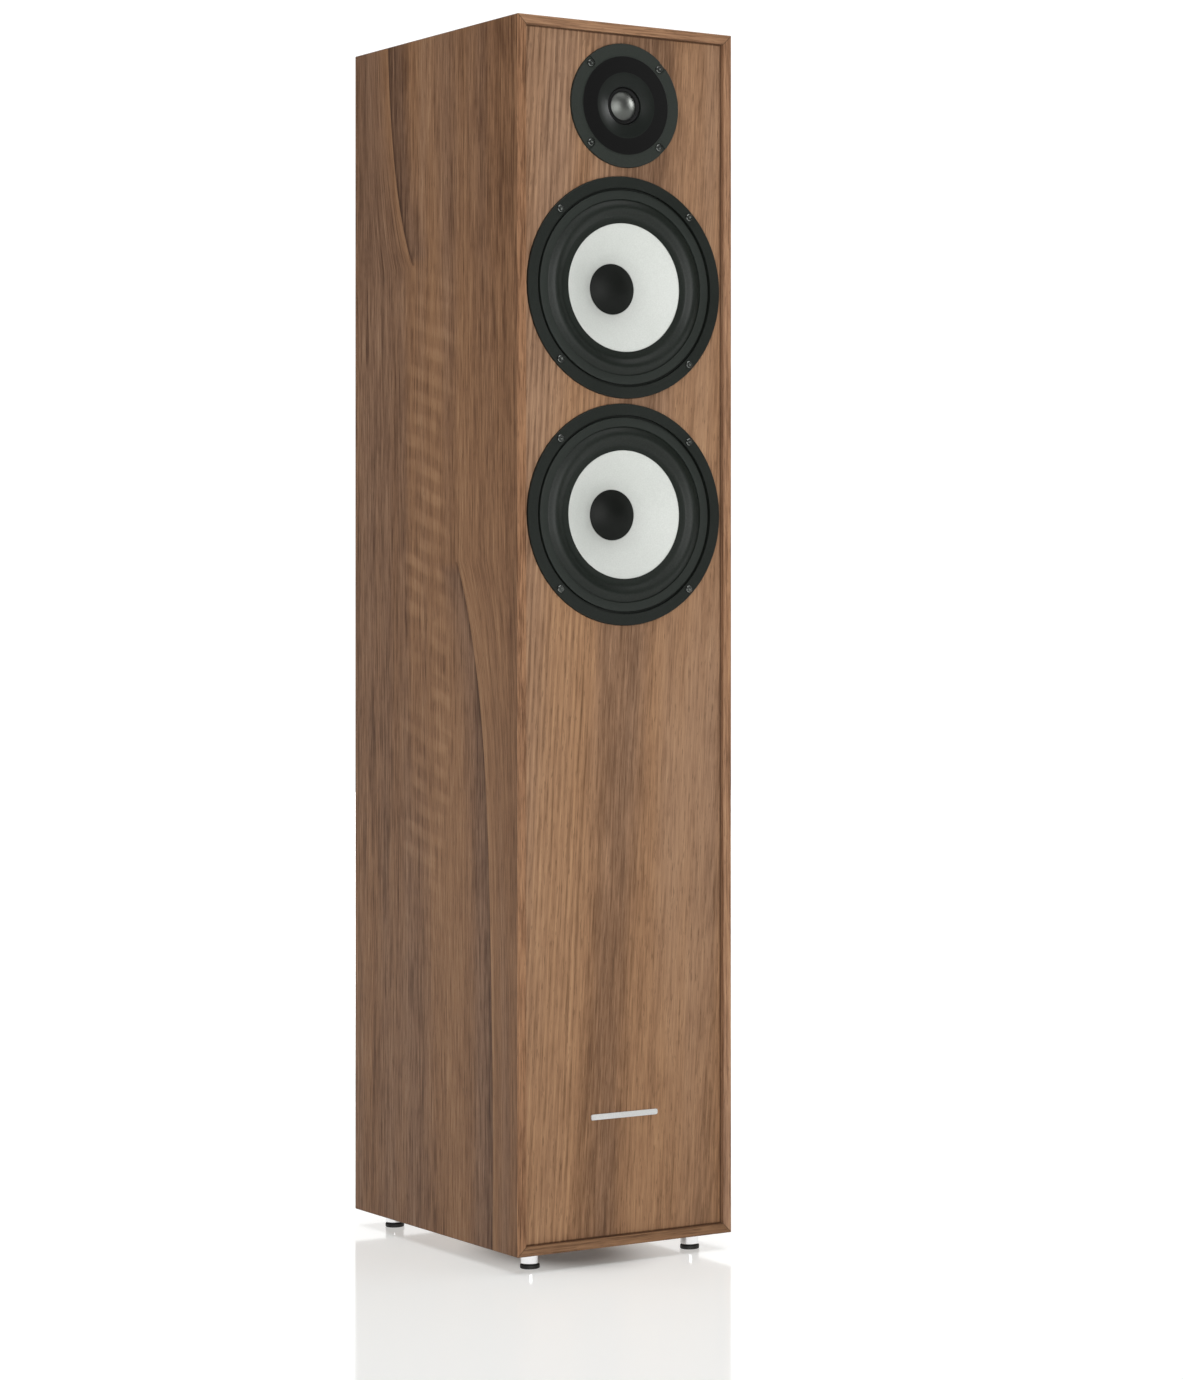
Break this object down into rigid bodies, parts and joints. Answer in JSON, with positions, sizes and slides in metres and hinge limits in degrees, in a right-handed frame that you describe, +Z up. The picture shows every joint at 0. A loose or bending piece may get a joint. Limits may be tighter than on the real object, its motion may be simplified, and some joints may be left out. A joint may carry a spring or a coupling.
{
  "type": "floorstanding speaker",
  "caption": "Slim floorstanding loudspeaker: mitred walnut cabinet with inset baffle, dome tweeter, white-cone woofers, rear reflex port, binding posts and screw-down feet.",
  "frame": {"origin": "bottom centre of the bounding box, on the surface the feet stand on", "axes": "+Z up, the baffle and drivers face -Y, +X to the right seen from the front"},
  "size_m": [0.2, 0.287, 1],
  "materials": {
    "walnut_frame": "satin walnut veneer, vertical grain",
    "walnut_baffle": "satin walnut veneer, straight vertical grain",
    "bare_board": "bare fibreboard",
    "badge_metal": "satin plain plate",
    "basket_black": "satin black powder coat",
    "gasket_rubber": "matt black",
    "surround_rubber": "soft black rubber",
    "cone_white": "white, faint satin",
    "cap_black": "satin black",
    "coil_copper": "enamelled copper winding",
    "spider_cloth": "resin-dipped cloth",
    "zinc_steel": "zinc plated",
    "ferrite": "dull ferrite",
    "screw_black": "black oxide",
    "tweeter_plate": "satin black, finely textured",
    "tweeter_rubber": "coated black cloth",
    "dome_metal": "anodised satin",
    "moulded_black": "moulded, finely textured",
    "gold_plate": "gold plated",
    "knob_red": "gloss red",
    "knob_black": "gloss black",
    "foot_rubber": "matt black",
    "foot_chrome": "polished",
    "board_green": "solder-masked board with ceramic resistors",
    "capacitor_film": "wrapped film",
    "cable_sheath": "smooth sheath",
    "wadding_fibre": "loose polyester fibre"
  },
  "bodies": {
    "cabinet": {"side_panel_left": "walnut_frame", "side_panel_right": "walnut_frame", "top_panel": "walnut_frame", "bottom_panel": "walnut_frame", "front_baffle": "walnut_baffle", "back_panel": "walnut_baffle", "window_braces": "bare_board", "badge_plate": "badge_metal", "upper_basket": "basket_black", "upper_gasket": "gasket_rubber", "upper_surround": "surround_rubber", "upper_spider": "spider_cloth", "upper_top_plate": "zinc_steel", "upper_magnet": "ferrite", "upper_yoke": "zinc_steel", "lower_basket": "basket_black", "lower_gasket": "gasket_rubber", "lower_surround": "surround_rubber", "lower_spider": "spider_cloth", "lower_top_plate": "zinc_steel", "lower_magnet": "ferrite", "lower_yoke": "zinc_steel", "driver_screws": "screw_black", "tweeter_faceplate": "tweeter_plate", "tweeter_surround": "tweeter_rubber", "tweeter_top_plate": "zinc_steel", "tweeter_magnet": "ferrite", "tweeter_yoke": "zinc_steel", "port_tube": "moulded_black", "terminal_cup": "moulded_black", "binding_posts": "gold_plate", "foot_inserts": "gold_plate", "crossover_board": "board_green", "crossover_coils": "coil_copper", "crossover_capacitors": "capacitor_film", "wiring": "cable_sheath", "panel_screws": "screw_black", "damping_wadding": "wadding_fibre"},
    "upper_cone_assembly": {"upper_cone": "cone_white", "upper_dust_cap": "cap_black", "upper_voice_coil": "coil_copper"},
    "lower_cone_assembly": {"lower_cone": "cone_white", "lower_dust_cap": "cap_black", "lower_voice_coil": "coil_copper"},
    "tweeter_diaphragm": {"tweeter_dome": "dome_metal", "tweeter_voice_coil": "coil_copper"},
    "washer_red": {"clamp_washer_red": "gold_plate"},
    "knob_red": {"knob_red": "knob_red", "knob_insert_red": "gold_plate"},
    "washer_black": {"clamp_washer_black": "gold_plate"},
    "knob_black": {"knob_black": "knob_black", "knob_insert_black": "gold_plate"},
    "pad_front_left": {"foot_pad_front_left": "foot_rubber"},
    "sleeve_front_left": {"foot_sleeve_front_left": "foot_chrome"},
    "pad_front_right": {"foot_pad_front_right": "foot_rubber"},
    "sleeve_front_right": {"foot_sleeve_front_right": "foot_chrome"},
    "pad_rear_left": {"foot_pad_rear_left": "foot_rubber"},
    "sleeve_rear_left": {"foot_sleeve_rear_left": "foot_chrome"},
    "pad_rear_right": {"foot_pad_rear_right": "foot_rubber"},
    "sleeve_rear_right": {"foot_sleeve_rear_right": "foot_chrome"}
  },
  "joints": [
    {"name": "upper_cone_travel", "type": "slide", "parent": "cabinet", "child": "upper_cone_assembly", "axis": [0, -1, 0], "range_m": [-0.006, 0.006], "stiffness_N_per_m": 1200, "deforming": ["upper_surround", "upper_spider"]},
    {"name": "lower_cone_travel", "type": "slide", "parent": "cabinet", "child": "lower_cone_assembly", "axis": [0, -1, 0], "range_m": [-0.006, 0.006], "stiffness_N_per_m": 1200, "deforming": ["lower_surround", "lower_spider"]},
    {"name": "tweeter_dome_travel", "type": "slide", "parent": "cabinet", "child": "tweeter_diaphragm", "axis": [0, -1, 0], "range_m": [-0.0005, 0.0005], "stiffness_N_per_m": 500, "deforming": ["tweeter_surround"]},
    {"name": "clamp_red_travel", "type": "slide", "parent": "cabinet", "child": "washer_red", "axis": [0, 1, 0], "range_m": [0, 0.005]},
    {"name": "knob_red_turn", "type": "hinge", "parent": "washer_red", "child": "knob_red", "pos_m": [-0.0095, 0.1215, 0.164], "axis": [0, 1, 0], "range_deg": [0, 1800]},
    {"name": "clamp_black_travel", "type": "slide", "parent": "cabinet", "child": "washer_black", "axis": [0, 1, 0], "range_m": [0, 0.005]},
    {"name": "knob_black_turn", "type": "hinge", "parent": "washer_black", "child": "knob_black", "pos_m": [0.0095, 0.1215, 0.164], "axis": [0, 1, 0], "range_deg": [0, 1800]},
    {"name": "foot_front_left_travel", "type": "slide", "parent": "cabinet", "child": "pad_front_left", "axis": [0, 0, -1], "range_m": [0, 0.008]},
    {"name": "foot_front_left_turn", "type": "hinge", "parent": "pad_front_left", "child": "sleeve_front_left", "pos_m": [-0.075, -0.1185, 0.007], "axis": [0, 0, -1], "range_deg": [0, 2304]},
    {"name": "foot_front_right_travel", "type": "slide", "parent": "cabinet", "child": "pad_front_right", "axis": [0, 0, -1], "range_m": [0, 0.008]},
    {"name": "foot_front_right_turn", "type": "hinge", "parent": "pad_front_right", "child": "sleeve_front_right", "pos_m": [0.075, -0.1185, 0.007], "axis": [0, 0, -1], "range_deg": [0, 2304]},
    {"name": "foot_rear_left_travel", "type": "slide", "parent": "cabinet", "child": "pad_rear_left", "axis": [0, 0, -1], "range_m": [0, 0.008]},
    {"name": "foot_rear_left_turn", "type": "hinge", "parent": "pad_rear_left", "child": "sleeve_rear_left", "pos_m": [-0.075, 0.1165, 0.007], "axis": [0, 0, -1], "range_deg": [0, 2304]},
    {"name": "foot_rear_right_travel", "type": "slide", "parent": "cabinet", "child": "pad_rear_right", "axis": [0, 0, -1], "range_m": [0, 0.008]},
    {"name": "foot_rear_right_turn", "type": "hinge", "parent": "pad_rear_right", "child": "sleeve_rear_right", "pos_m": [0.075, 0.1165, 0.007], "axis": [0, 0, -1], "range_deg": [0, 2304]}
  ],
  "couplings": [
    {"joint": "knob_red_turn", "follows": "clamp_red_travel", "rad_per_m": 6283.2},
    {"joint": "knob_black_turn", "follows": "clamp_black_travel", "rad_per_m": 6283.2},
    {"joint": "foot_front_left_turn", "follows": "foot_front_left_travel", "rad_per_m": 5026.5},
    {"joint": "foot_front_right_turn", "follows": "foot_front_right_travel", "rad_per_m": 5026.5},
    {"joint": "foot_rear_left_turn", "follows": "foot_rear_left_travel", "rad_per_m": 5026.5},
    {"joint": "foot_rear_right_turn", "follows": "foot_rear_right_travel", "rad_per_m": 5026.5}
  ]
}
